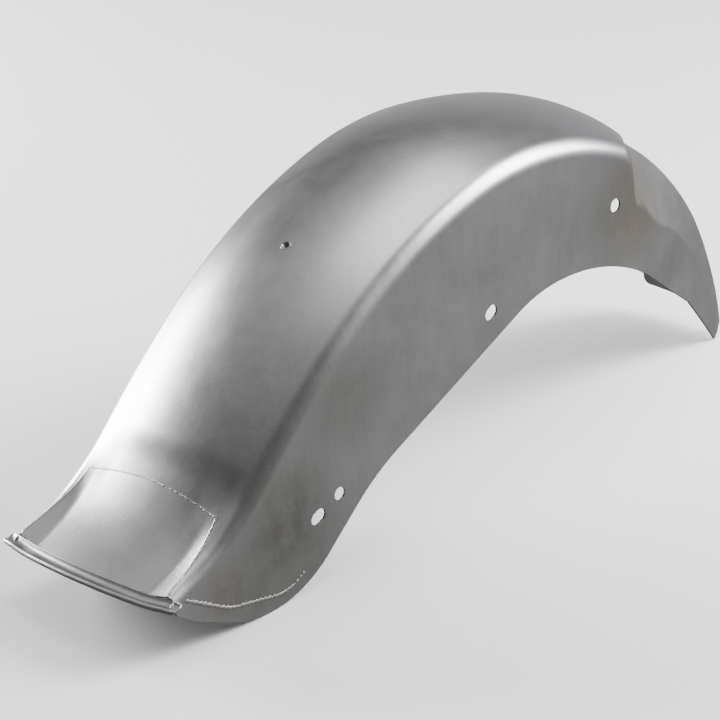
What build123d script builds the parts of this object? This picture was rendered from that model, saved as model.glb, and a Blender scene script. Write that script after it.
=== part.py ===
from build123d import *
from collections import namedtuple
from math import asin, atan2, cos, degrees, hypot, radians, sin, tan
import os

# Sheet metal rear fender of a motorcycle. +X is the machine's front, +Y its left, +Z up.
# The floor is z = 0, under the lowest points of the skirts and of the nose.

# Sheet
sheet = 2.0
half_width = 105.0

# Arch, round the wheel's centre
wheel_x = 76.5
wheel_z = -12.6
arch_radius = 316.0
arch_front_slope = -30.5
step_slope = -36.3
step_share = 0.55
arch_rear_slope = 13.2

# Cross-section of the arch; an inset is measured inwards from the skirt's side
shoulder_radius = 21.0
shoulder_tilt = 20.5
crown_edge_inset = 29.7
crown_tilt = 17.0
crown_blend = 7.15

# Rear run of the shoulder line, as arcs from the arch to the lip
back_radius = 503.6
back_slope = 37.5
lower_back_radius = 1069.0
lower_back_slope = 43.9
flare_radius = 275.0
flare_slope = 15.8
tail_run = 24.0
skirt_depth = 170.0

# Sections of the flare, where the tail turns up: share of its turn done, and sizes of the section there
flare_shares = (0.25, 0.45, 0.7, 1.0)
flare_shoulder_radii = (18.0, 16.0, 13.0, 10.0)
flare_shoulder_tilts = (14.0, 5.0, -6.0, -6.0)
flare_edge_insets = (28.0, 28.0, 29.0, 30.0)
flare_edge_blends = (5.0, 4.0, 4.0, 4.0)
flare_crown_tilts = (13.0, 11.0, 8.5, 6.5)
tail_shoulder_radius = 7.0
tail_shoulder_tilt = -3.0
tail_edge_inset = 31.0
tail_edge_blend = 3.0
tail_crown_tilt = 5.0

# Sections of the nose, the narrow front of the arch: slope of the section, inset and drop of its crease,
# radius of the crease, inset of the crown's edge, drop of the crown and lean of the wall
nose_slopes = (-45.7, -55.5, -65.4, -75.0, -84.7, -91.0)
nose_insets = (8.0, 19.5, 30.0, 34.0, 34.5, 35.0)
nose_crease_drops = (33.5, 18.0, 2.5, -9.0, -18.0, -21.0)
nose_crease_radii = (15.0, 15.0, 12.0, 10.0, 8.0, 8.0)
nose_edge_insets = (45.0, 45.0, 44.5, 43.0, 41.0, 41.0)
nose_crown_drops = (7.0, 3.0, 0.0, 0.0, 0.0, 0.0)
nose_leans = (8.0, 12.0, 14.0, 16.0, 16.0, 16.0)
step_crease_drop = 31.0
step_crease_radius = 15.0
step_edge_inset = 45.0
step_crown_drop = 10.0
nose_depth = 80.0
nose_crown_tilt = 8.0
nose_blend = 5.0

# Cut end of the nose, and the cut that takes away its left skirt, from the tip of the shoulder line
nose_far_inset = 67.0
nose_near_inset = 45.0
nose_end_near_rise = 33.1
nose_end_far_rise = 43.6
far_cut = ((-165.5, 163.6), (-100.5, 203.6), (87.5, 319.6), (87.5, -27.4), (-165.5, -27.4))
far_cut_radius = 8.0

# Lip and the panel welded in above it; the lip's corner is measured from the end of the shoulder line
lip_ahead = 9.62
lip_above = 7.53
lip_rise = 3.0
lip_bow = 9.0
lip_reach = 13.4
lip_drop = 5.2
lip_bead = 2.6
lip_root = 1.2
lip_step = 0.5
lip_hollow = 5.6
lip_foot = 4.0
lip_underside = 7.3
lip_overhang = 9.0
panel_length = 76.0
ridge_seam_inset = 21.0
ridge_lip_inset = 6.0

# Lower edge of the skirts: the rear run from the lip's corner, the middle run from the top of the arch over
# the tip of the shoulder line, and the front run from that tip
rear_edge = ((-23.0, 3.2), (22.0, -29.2), (131.2, -81.75), (258.0, 18.6))
middle_edge = ((-305.0, -126.4), (-190.9, -126.4), (-46.0, -236.4))
front_edge = ((10.0, 12.8), (47.5, 36.6))
skirt_edge_radii = (30.0, 120.0, 240.0, 165.0, 235.0, 10.0, 2.0)

# Weld line of the tail strips, above the lower edge, from the lip's corner
weld_line = ((-18.0, -12.5), (12.5, -3.5), (63.5, -34.5), (140.5, -52.0), (208.5, -2.0), (223.5, -41.0))
weld_line_radii = (2.0, 60.0, 50.0, 8.0)
outside = 600.0

# Holes of the skirts: the front two by slope and depth below the shoulder line, the rear two from the lip's corner
strut_hole_radius = 6.9
strut_hole_slope = -28.973
strut_hole_depth = 43.496
slot_width = 12.7
slot_middle_slope = 14.75
slot_middle_depth = 115.36
slot_middle_length = 16.5
slot_middle_angle = 29.0
rear_hole_radius = 6.35
rear_hole_place = (210.0, 18.6)
slot_rear_place = (180.8, 7.1)
slot_rear_length = 18.0
slot_rear_angle = 18.5

# Seat bung
seat_slope = 28.5
bung_hub_radius = 5.6
bung_flange_radius = 9.5
bung_flange_height = 5.7
bung_gap = 0.3
bung_thread_radius = 3.3
bung_mouth_radius = 4.1

os.makedirs("parts", exist_ok=True)

Station = namedtuple("Station", "x z slope")
Section = namedtuple("Section", "corner corner_radius edge_y edge_z blend tilt lean")


def walk(start, radius, slope):
    """Next station of the shoulder line along an arc; a negative radius bends it upwards."""
    turn = radius * (sin(radians(start.slope)) - sin(radians(slope)))
    rise = radius * (cos(radians(slope)) - cos(radians(start.slope)))
    return Station(start.x + turn, start.z + rise, slope)


def turning_axis(start, radius):
    """Axis of the arc that leaves a station towards the tail."""
    x = start.x + radius * sin(radians(start.slope))
    z = start.z - radius * cos(radians(start.slope))
    return Axis((x, 0, z), (0, -1, 0))


def below(station, depth):
    """Point of the side view at a depth below the shoulder line."""
    slope = radians(station.slope)
    return (station.x + depth * sin(slope), station.z - depth * cos(slope))


def placed(points, origin):
    """Points of the side view measured from an origin."""
    return [(x + origin[0], z + origin[1]) for x, z in points]


def fitting_radii(points, radii):
    """Corner radii of a line, smaller where two of them need more than the run between them."""
    runs = [(end[0] - start[0], end[1] - start[1]) for start, end in zip(points, points[1:])]
    lengths = [hypot(*run) for run in runs]
    headings = [atan2(run[1], run[0]) for run in runs]
    needs = [abs(tan((after - before) / 2)) for before, after in zip(headings, headings[1:])]
    fitting = list(radii)
    for i in range(len(fitting) - 1):
        need = fitting[i] * needs[i] + fitting[i + 1] * needs[i + 1]
        share = min(1, 0.99 * lengths[i + 1] / need)
        fitting[i] *= share
        fitting[i + 1] *= share
    return fitting


def frame(station):
    """Section plane across the shoulder line, with local x to the left and local y outwards."""
    slope = radians(station.slope)
    return Plane(origin=(station.x, 0, station.z), x_dir=(0, 1, 0), z_dir=(cos(slope), 0, sin(slope)))


def outline(section, width, depth):
    """Right half of the sheet's outside as (y, z, tilt of the normal), from the skirt's foot to the crown."""
    flank = degrees(atan2(section.edge_z - section.corner, width - section.edge_y))
    wall = 90.0 - section.lean
    setback = section.corner_radius * tan(radians(wall - flank) / 2)
    down = (cos(radians(wall)), -sin(radians(wall)))
    inward = (-cos(radians(flank)), sin(radians(flank)))
    crown = (-cos(radians(section.tilt)), sin(radians(section.tilt)))
    edge = (section.edge_y, section.edge_z)
    foot = (width + (setback + depth) * down[0], section.corner + (setback + depth) * down[1], wall)
    low = (width + setback * down[0], section.corner + setback * down[1], wall)
    high = (width + setback * inward[0], section.corner + setback * inward[1], flank)
    blend_low = (edge[0] - section.blend * inward[0], edge[1] - section.blend * inward[1], flank)
    blend_high = (edge[0] + section.blend * crown[0], edge[1] + section.blend * crown[1], section.tilt)
    return [foot, low, high, blend_low, blend_high]


def bulge(start, end):
    """Middle of the arc between two points of an outline, tangent to both."""
    tilt = (start[2] + end[2]) / 2
    sagitta = hypot(end[0] - start[0], end[1] - start[1]) / 2 * tan(radians(start[2] - end[2]) / 4)
    y = (start[0] + end[0]) / 2 + sagitta * sin(radians(tilt))
    z = (start[1] + end[1]) / 2 + sagitta * cos(radians(tilt))
    return (y, z, tilt)


def inset(point, distance):
    """Point of an outline moved along its normal into the sheet."""
    y, z, tilt = point
    return (y - distance * sin(radians(tilt)), z - distance * cos(radians(tilt)))


def section_face(station, section, width=half_width, depth=skirt_depth):
    """Closed section of the bent sheet on the plane of a station."""
    foot, low, high, blend_low, blend_high = outline(section, width, depth)
    apex = (0, blend_high[1] + blend_high[0] * tan(radians(section.tilt) / 2), 0)
    shoulder = bulge(low, high)
    edge = bulge(blend_low, blend_high)
    chain = (foot, low, shoulder, high, blend_low, edge, blend_high)
    with BuildSketch(frame(station)) as sketch:
        with BuildLine():
            for distance in (0, sheet):
                top = inset(apex, distance)
                right = [inset(point, distance) for point in chain]
                left = [(-y, z) for y, z in right]
                for side in (right, left):
                    Line(side[0], side[1])
                    ThreePointArc(side[1], side[2], side[3])
                    Line(side[3], side[4])
                    ThreePointArc(side[4], side[5], side[6])
                ThreePointArc(right[6], top, left[6])
            for sign in (1, -1):
                outer = inset(foot, 0)
                inner = inset(foot, sheet)
                Line((sign * outer[0], outer[1]), (sign * inner[0], inner[1]))
        make_face()
    return sketch.sketch.face()


def shoulder_section(corner_radius, flank, edge_inset, blend, tilt):
    """Section whose rounded shoulder meets the skirt on the shoulder line."""
    corner = corner_radius * tan(radians(90 - flank) / 2)
    edge_z = corner + edge_inset * tan(radians(flank))
    return Section(corner, corner_radius, half_width - edge_inset, edge_z, blend, tilt, 0)


def nose_section(crease_drop, corner_radius, edge_inset, drop, lean):
    """Section of the nose, whose crease and crown lie below the arch's by their drops."""
    edge_y = half_width - edge_inset
    reach = nose_blend * cos(radians(nose_crown_tilt))
    fall = (edge_y - reach) * tan(radians(nose_crown_tilt) / 2) + nose_blend * sin(radians(nose_crown_tilt))
    edge_z = crown_height - drop - fall
    return Section(-crease_drop, corner_radius, edge_y, edge_z, nose_blend, nose_crown_tilt, lean)


arch_section = shoulder_section(shoulder_radius, shoulder_tilt, crown_edge_inset, crown_blend, crown_tilt)
arch_top = outline(arch_section, half_width, skirt_depth)[-1]
crown_height = arch_top[1] + arch_top[0] * tan(radians(crown_tilt) / 2)

arch_top_station = Station(wheel_x, wheel_z + arch_radius, 0)
arch_front = walk(arch_top_station, arch_radius, arch_front_slope)
arch_rear = walk(arch_top_station, arch_radius, arch_rear_slope)
back_end = walk(arch_rear, back_radius, back_slope)
lower_back_end = walk(back_end, lower_back_radius, lower_back_slope)
flare_end = walk(lower_back_end, -flare_radius, flare_slope)
tail_end = Station(
    flare_end.x - tail_run * cos(radians(flare_slope)),
    flare_end.z - tail_run * sin(radians(flare_slope)),
    flare_slope,
)
arch_runs = (
    (arch_front, arch_radius, arch_rear_slope),
    (arch_rear, back_radius, back_slope),
    (back_end, lower_back_radius, lower_back_slope),
)
seat_station = walk(arch_rear, back_radius, seat_slope)
seat_frame = frame(seat_station)
seat_up = Axis((0, 0, 0), seat_frame.y_dir)
seat_plane = Plane(origin=seat_frame.from_local_coords((0, crown_height, 0)), z_dir=seat_frame.y_dir)

# Places that the tail, the skirts and the nose are measured from
nose_tip = (wheel_x + arch_radius, wheel_z)
arch_corner = (nose_tip[0], arch_top_station.z)
lip_corner = (tail_end.x + lip_ahead, tail_end.z + lip_above)
seam_x = lip_corner[0] + panel_length

# Middle and turning axis of the lip, on the bowed edge of the tail
lip_sagitta = hypot(lip_bow, lip_rise)
lip_radius = (half_width**2 + lip_sagitta**2) / (2 * lip_sagitta)
lip_middle = (lip_corner[0] - lip_bow, 0, lip_corner[1] + lip_rise)
lip_centre_x = lip_middle[0] + lip_radius * lip_bow / lip_sagitta
lip_centre_z = lip_middle[2] - lip_radius * lip_rise / lip_sagitta
lip_axis = Axis((lip_centre_x, 0, lip_centre_z), (lip_rise, 0, lip_bow))
lip_turn = degrees(asin((half_width + lip_overhang) / (lip_radius + lip_reach)))


def blended(first, second, share):
    """Section between two others."""
    return Section(*(a + (b - a) * share for a, b in zip(first, second)))


# Sections of the nose, from its tip to the step
nose_sizes = zip(nose_crease_drops, nose_crease_radii, nose_edge_insets, nose_crown_drops, nose_leans)
nose_faces = []
for slope, inset_y, sizes in zip(nose_slopes, nose_insets, nose_sizes):
    station = walk(arch_top_station, arch_radius, slope)
    nose_faces.insert(0, section_face(station, nose_section(*sizes), half_width - inset_y, nose_depth))

# Sections of the step between the nose and the full arch
step_section = nose_section(step_crease_drop, step_crease_radius, step_edge_inset, step_crown_drop, 0)
step_start = walk(arch_top_station, arch_radius, step_slope)
step_mid = walk(arch_top_station, arch_radius, (step_slope + arch_front_slope) / 2)
nose_faces.append(section_face(step_start, step_section))
step_faces = [nose_faces[-1]]
step_faces.append(section_face(step_mid, blended(step_section, arch_section, step_share)))
step_faces.append(section_face(arch_front, arch_section))

# Sections of the flare and of the run to the lip
flare_sizes = zip(flare_shoulder_radii, flare_shoulder_tilts, flare_edge_insets, flare_edge_blends, flare_crown_tilts)
tail_sizes = (tail_shoulder_radius, tail_shoulder_tilt, tail_edge_inset, tail_edge_blend, tail_crown_tilt)
flare_faces = [section_face(lower_back_end, arch_section)]
for share, sizes in zip(flare_shares, flare_sizes):
    slope = lower_back_slope + share * (flare_slope - lower_back_slope)
    flare_faces.append(section_face(walk(lower_back_end, -flare_radius, slope), shoulder_section(*sizes)))
flare_faces.append(section_face(tail_end, shoulder_section(*tail_sizes)))

with BuildPart() as lip:
    with BuildSketch(Plane(origin=lip_middle, x_dir=(1, 0, 0), z_dir=(0, -1, 0))):
        with BuildLine():
            top = (0, -lip_step)
            bottom = (0, -sheet - lip_step + 0.1)
            crest = (lip_bead - lip_reach, lip_bead - lip_drop)
            foot = (lip_bead - lip_reach, -lip_bead - lip_drop)
            Polyline(bottom, (lip_root, lip_step - sheet), (lip_root, -lip_step), top)
            ThreePointArc(top, (-lip_hollow, -lip_drop), crest)
            ThreePointArc(crest, (-lip_reach, -lip_drop), foot)
            ThreePointArc(foot, (-lip_foot, -lip_underside), bottom)
        make_face()
    revolve(axis=lip_axis, revolution_arc=lip_turn)
    mirror(about=Plane.XZ)

with BuildPart() as fender_sheet:
    loft(nose_faces)
    loft(step_faces)
    for start, radius, slope in arch_runs:
        add(section_face(start, arch_section))
        revolve(axis=turning_axis(start, radius), revolution_arc=slope - start.slope)
    loft(flare_faces)
    with BuildSketch(Plane.XZ):
        with BuildLine():
            rear = placed(rear_edge, lip_corner)
            middle = placed(middle_edge, arch_corner)
            front = placed(front_edge, nose_tip)
            edge = rear + middle + front
            lower_edge = FilletPolyline(*edge, radius=fitting_radii(edge, skirt_edge_radii))
            Polyline(lower_edge @ 1, (outside, outside), (-outside, outside), lower_edge @ 0)
        make_face()
    extrude(amount=outside, both=True, mode=Mode.INTERSECT)
    with BuildSketch(Plane.XY):
        with BuildLine():
            lip_x = lip_corner[0]
            tail_edge = ThreePointArc((lip_x, -half_width), (lip_x - lip_bow, 0), (lip_x, half_width))
            behind = [(lip_x, outside), (-outside, outside), (-outside, -outside), (lip_x, -outside)]
            Polyline(tail_edge @ 1, *behind, tail_edge @ 0)
        make_face()
    extrude(amount=outside, mode=Mode.SUBTRACT)
    nose_far_y = half_width - nose_far_inset
    nose_near_y = nose_near_inset - half_width
    with BuildSketch(Plane.XZ.offset(-nose_far_y)):
        with BuildLine():
            FilletPolyline(*placed(far_cut, nose_tip), radius=far_cut_radius, close=True)
        make_face()
    extrude(amount=-outside, mode=Mode.SUBTRACT)
    with BuildSketch(Plane.YZ.offset(nose_tip[0])):
        with BuildLine():
            FilletPolyline(
                (nose_near_y, wheel_z + nose_end_near_rise),
                (nose_far_y, wheel_z + nose_end_far_rise),
                (nose_far_y, outside / 2),
                (outside, outside / 2),
                (outside, -outside),
                (nose_near_y, -outside),
                radius=far_cut_radius,
                close=True,
            )
        make_face()
    extrude(amount=outside, mode=Mode.SUBTRACT)
    with BuildSketch(Plane.XZ):
        with Locations(below(walk(arch_top_station, arch_radius, strut_hole_slope), strut_hole_depth)):
            Circle(strut_hole_radius)
        with Locations(below(walk(arch_rear, back_radius, slot_middle_slope), slot_middle_depth)):
            SlotOverall(slot_middle_length, slot_width, rotation=slot_middle_angle)
        with Locations(placed([rear_hole_place], lip_corner)):
            Circle(rear_hole_radius)
        with Locations(placed([slot_rear_place], lip_corner)):
            SlotOverall(slot_rear_length, slot_width, rotation=slot_rear_angle)
    extrude(amount=outside, both=True, mode=Mode.SUBTRACT)
    with BuildSketch(seat_plane.offset(-2 * bung_flange_height)):
        Circle(bung_hub_radius)
    extrude(amount=4 * bung_flange_height, mode=Mode.SUBTRACT)

with BuildPart() as panel_region:
    with BuildSketch(Plane.XY):
        with BuildLine():
            ridge_seam_y = half_width - ridge_seam_inset
            spread = (ridge_seam_inset - ridge_lip_inset) / panel_length
            rear_y = ridge_seam_y + spread * (seam_x + outside)
            Polyline(
                (seam_x, ridge_seam_y),
                (-outside, rear_y),
                (-outside, -rear_y),
                (seam_x, -ridge_seam_y),
                close=True,
            )
        make_face()
    extrude(amount=outside)

with BuildPart() as strip_region:
    with BuildSketch(Plane.XZ):
        with BuildLine():
            weld = FilletPolyline(*placed(weld_line, lip_corner), radius=weld_line_radii)
            Polyline(weld @ 1, ((weld @ 1).X, -outside), (-outside, -outside), weld @ 0)
        make_face()
    extrude(amount=outside, both=True)

with BuildPart() as tail_panel:
    add(fender_sheet)
    add(panel_region, mode=Mode.INTERSECT)
    add(lip)
tail_panel.part.label = "tail_panel"
export_step(tail_panel.part, "parts/tail_panel.step")

for side, name in ((-1, "tail_strip_right"), (1, "tail_strip_left")):
    with BuildPart() as tail_strip:
        add(fender_sheet)
        add(strip_region, mode=Mode.INTERSECT)
        add(lip, mode=Mode.SUBTRACT)
        split(bisect_by=Plane.XZ, keep=Keep.TOP if side < 0 else Keep.BOTTOM)
    tail_strip.part.label = name
    export_step(tail_strip.part, f"parts/{name}.step")

with BuildPart() as fender_shell:
    add(fender_sheet)
    add(panel_region, mode=Mode.SUBTRACT)
    add(strip_region, mode=Mode.SUBTRACT)
    add(lip, mode=Mode.SUBTRACT)
fender_shell.part.label = "fender_shell"
export_step(fender_shell.part, "parts/fender_shell.step")

with BuildPart() as seat_bung:
    with BuildSketch(seat_plane.offset(-sheet - bung_gap)):
        Circle(bung_flange_radius)
    extrude(amount=-bung_flange_height)
    with BuildSketch(seat_plane):
        Circle(bung_hub_radius)
    extrude(amount=-sheet - bung_gap)
    with BuildSketch(seat_plane):
        Circle(bung_thread_radius)
    extrude(amount=-bung_flange_height - sheet - bung_gap, mode=Mode.SUBTRACT)
    mouth = seat_bung.faces().sort_by(seat_up)[-1].edges().sort_by(SortBy.LENGTH)[0]
    chamfer(mouth, bung_mouth_radius - bung_thread_radius)
seat_bung.part.label = "seat_bung"
export_step(seat_bung.part, "parts/seat_bung.step")
for item in (fender_shell, tail_panel, seat_bung):
    print(item.part.label, item.part.is_valid, len(item.part.solids()), round(item.part.volume))
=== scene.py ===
import bpy
import numpy as np
from mathutils import Matrix, Vector


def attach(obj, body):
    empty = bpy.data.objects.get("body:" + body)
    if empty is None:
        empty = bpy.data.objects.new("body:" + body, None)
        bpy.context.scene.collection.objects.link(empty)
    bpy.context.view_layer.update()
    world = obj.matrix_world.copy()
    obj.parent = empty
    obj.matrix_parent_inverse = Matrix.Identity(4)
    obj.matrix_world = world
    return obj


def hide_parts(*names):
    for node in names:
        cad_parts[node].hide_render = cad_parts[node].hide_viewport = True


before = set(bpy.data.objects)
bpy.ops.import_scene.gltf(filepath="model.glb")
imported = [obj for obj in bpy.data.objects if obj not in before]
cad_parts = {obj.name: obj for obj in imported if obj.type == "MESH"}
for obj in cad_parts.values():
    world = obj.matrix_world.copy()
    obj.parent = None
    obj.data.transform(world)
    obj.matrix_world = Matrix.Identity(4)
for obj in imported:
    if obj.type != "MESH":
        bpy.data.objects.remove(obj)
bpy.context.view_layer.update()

# Sizes of the bent sheet, in millimetres and degrees, as the solids have them
sheet = 2.0
half_width = 105.0
wheel = (76.5, -12.6)
arch_radius = 316.0
path_arcs = ((-91.0, 13.2, arch_radius), (13.2, 37.5, 503.6), (37.5, 43.9, 1069.0), (43.9, 15.8, -275.0))
tail_run = 24.0
skirt_depth = 170.0
nose_crown_tilt = 8.0
nose_blend = 5.0
lip_end = (-407.0, 105.0, 61.0)
lip_rise = 3.0
lip_bow = 9.0
seam_x = -331.0
ridge_seam_y = 84.0
ridge_lip_y = 99.0
ridge_spread = (ridge_lip_y - ridge_seam_y) / (seam_x - lip_end[0])
seat_slope = 28.5
seat_hole_radius = 5.6

# Lines in the side view, as (x, z) corners with the radii of the corners between the ends
skirt_edge = ((-430.0, 64.2), (-385.0, 31.8), (-275.8, -20.75), (-149.0, 79.6), (87.5, 177.0), (201.6, 177.0),
              (346.5, 67.0), (402.5, 0.2), (440.0, 24.0))
skirt_edge_radii = (30.0, 120.0, 240.0, 165.0, 235.0, 10.0, 2.0)
weld_line = ((-425.0, 48.5), (-394.5, 57.5), (-343.5, 26.5), (-266.5, 9.0), (-198.5, 59.0), (-183.5, 20.0))
weld_line_radii = (2.0, 60.0, 50.0, 8.0)
far_cut = ((227, 151), (292, 191), (480, 307), (480, -40), (227, -40))
far_cut_radius = 8.0
far_cut_y = 38.0

# The nose's end seen from the front, as (y, z) corners
nose_end = ((-60.0, -600.0), (-60.0, 20.5), (38.0, 31.0), (38.0, 300.0))
nose_end_radii = (8.0, 8.0)

# Holes of the skirts: middle, radius, half of a slot's straight run, angle
holes = (((208.5, 225.8), 6.9, 0.0, 0.0), ((-197.0, 79.6), 6.35, 0.0, 0.0),
         ((20.5, 180.2), 6.35, 1.9, 29.0), ((-226.2, 68.1), 6.35, 2.65, 18.5))

# Worked marks: the rim's rounding, the kink at the crown's seam, the panel's two ridges and one dent
bulge = 0.25
rim_inset = 0.45
seam_dip = 1.7
ridge_height = 1.6
ridge_width = 27.0
dents = (((215.0, 8.0, 314.0), 70.0, 2.4),)

# Value of a trim wherever it cuts nothing, in millimetres inside
clear = 50.0


def rad(a):
    return np.radians(a)


# Shoulder line: (length, x, z, slope at the start, slope at the end, radius) of each arc, then a straight run
arc_starts = []
s_end = 0.0
x_end = wheel[0] - arch_radius * np.sin(rad(path_arcs[0][0]))
z_end = wheel[1] + arch_radius * np.cos(rad(path_arcs[0][0]))
for a, b, r in path_arcs:
    arc_starts.append((s_end, x_end, z_end, a, b, r))
    x_end += r * (np.sin(rad(a)) - np.sin(rad(b)))
    z_end += r * (np.cos(rad(b)) - np.cos(rad(a)))
    s_end += abs(r * rad(b - a))
run_start = (s_end, x_end, z_end, path_arcs[-1][1])
s_total = s_end + tail_run


def path(s):
    """Point and slope of the shoulder line at lengths from the nose's tip."""
    x, z, slope = np.empty_like(s), np.empty_like(s), np.empty_like(s)
    for s0, x0, z0, a, _, r in arc_starts:
        m = s >= s0 - 1e-9
        t = a + np.degrees((s[m] - s0) / r)
        x[m] = x0 + r * (np.sin(rad(a)) - np.sin(rad(t)))
        z[m] = z0 + r * (np.cos(rad(t)) - np.cos(rad(a)))
        slope[m] = t
    s0, x0, z0, a = run_start
    m = s > s0
    x[m] = x0 - (s[m] - s0) * np.cos(rad(a))
    z[m] = z0 - (s[m] - s0) * np.sin(rad(a))
    slope[m] = a
    return x, z, slope


def at_slope(slope, arc):
    """Length at which one of the arcs has a slope."""
    s0, _, _, a, _, r = arc_starts[arc]
    return s0 + abs(r * rad(slope - a))


# Sections: width, corner, corner radius, edge y, edge z, blend, tilt, lean
def shoulder_section(corner_radius, flank, edge_y, blend, tilt):
    corner = corner_radius * np.tan(rad(90 - flank) / 2)
    edge_z = corner + (half_width - edge_y) * np.tan(rad(flank))
    return (half_width, corner, corner_radius, edge_y, edge_z, blend, tilt, 0.0)


def crown_top(section):
    """Height of a section's middle over the shoulder line."""
    edge_y, edge_z, blend, tilt = section[3:7]
    reach = edge_y - blend * np.cos(rad(tilt))
    return edge_z + blend * np.sin(rad(tilt)) + reach * np.tan(rad(tilt) / 2)


arch_section = shoulder_section(21.0, 20.5, 75.3, 7.15, 17.0)
crown_height = crown_top(arch_section)


def nose_section(width, crease, corner_radius, edge_y, drop, lean):
    reach = nose_blend * np.cos(rad(nose_crown_tilt))
    fall = (edge_y - reach) * np.tan(rad(nose_crown_tilt) / 2) + nose_blend * np.sin(rad(nose_crown_tilt))
    edge_z = crown_height - drop - fall
    return (width, crease - arch_radius, corner_radius, edge_y, edge_z, nose_blend, nose_crown_tilt, lean)


def eased(share):
    share = min(1.0, max(0.0, share))
    return share * share * (3 - 2 * share)


nose = ((-91.0, 70.0, 337.0, 8.0, 64.0, 0.0, 16.0), (-84.7, 70.5, 334.0, 8.0, 64.0, 0.0, 16.0),
        (-75.0, 71.0, 325.0, 10.0, 62.0, 0.0, 16.0), (-65.4, 75.0, 313.5, 12.0, 60.5, 0.0, 14.0),
        (-55.5, 85.5, 298.0, 15.0, 60.0, 3.0, 12.0), (-45.7, 97.0, 282.5, 15.0, 60.0, 7.0, 8.0),
        (-36.3, 105.0, 285.0, 15.0, 60.0, 10.0, 0.0))
keys = [(at_slope(row[0], 0), nose_section(*row[1:])) for row in nose]
step_foot = np.array(keys[-1][1])
step_rise = np.array(arch_section) - step_foot

# The shoulder steps down over a longer stretch than the crown
for slope in (-35.6, -34.9, -34.2, -33.5, -32.8, -32.0, -31.2, -30.2, -29.2):
    low, high = eased((slope + 36.0) / 8.0), eased((slope + 36.3) / 4.8)
    mix = np.array([low, low, low, high, high, high, high, low])
    keys.append((at_slope(slope, 0), step_foot + step_rise * mix))
for slope, arc in ((-28.0, 0), (-15.0, 0), (13.2, 0), (41.3, 2), (43.9, 2)):
    keys.append((at_slope(slope, arc), arch_section))

# The flare, at shares of its turn
flare_start, flare_end, _ = path_arcs[-1]
for share, values in ((0.25, (18.0, 14.0, 77.0, 5.0, 13.0)), (0.45, (16.0, 5.0, 77.0, 4.0, 11.0)),
                      (0.7, (13.0, -6.0, 76.0, 4.0, 8.5)), (1.0, (10.0, -6.0, 75.0, 4.0, 6.5))):
    keys.append((at_slope(flare_start - share * (flare_start - flare_end), 3), shoulder_section(*values)))
keys.append((s_total, shoulder_section(7.0, -3.0, 74.0, 3.0, 5.0)))
key_s = np.array([k[0] for k in keys])
key_v = np.array([k[1] for k in keys])


def smooth_rows(xs, ys, x):
    """Monotone cubic through rows of values."""
    h = np.diff(xs)[:, None]
    d = np.diff(ys, axis=0) / h
    m = np.zeros_like(ys)
    w1, w2 = 2 * h[1:] + h[:-1], h[1:] + 2 * h[:-1]
    same = d[:-1] * d[1:] > 0
    with np.errstate(divide="ignore", invalid="ignore"):
        mean = (w1 + w2) / (w1 / d[:-1] + w2 / d[1:])
    m[1:-1] = np.where(same, mean, 0.0)
    m[0], m[-1] = d[0], d[-1]
    i = np.clip(np.searchsorted(xs, x) - 1, 0, len(xs) - 2)
    hh = h[i]
    t = np.clip((x[:, None] - xs[i][:, None]) / hh, 0, 1)
    a, b = ys[i], ys[i + 1]
    return ((1 + 2 * t) * (1 - t) ** 2 * a + t * (1 - t) ** 2 * hh * m[i]
            + t * t * (3 - 2 * t) * b + t * t * (t - 1) * hh * m[i + 1])


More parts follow.
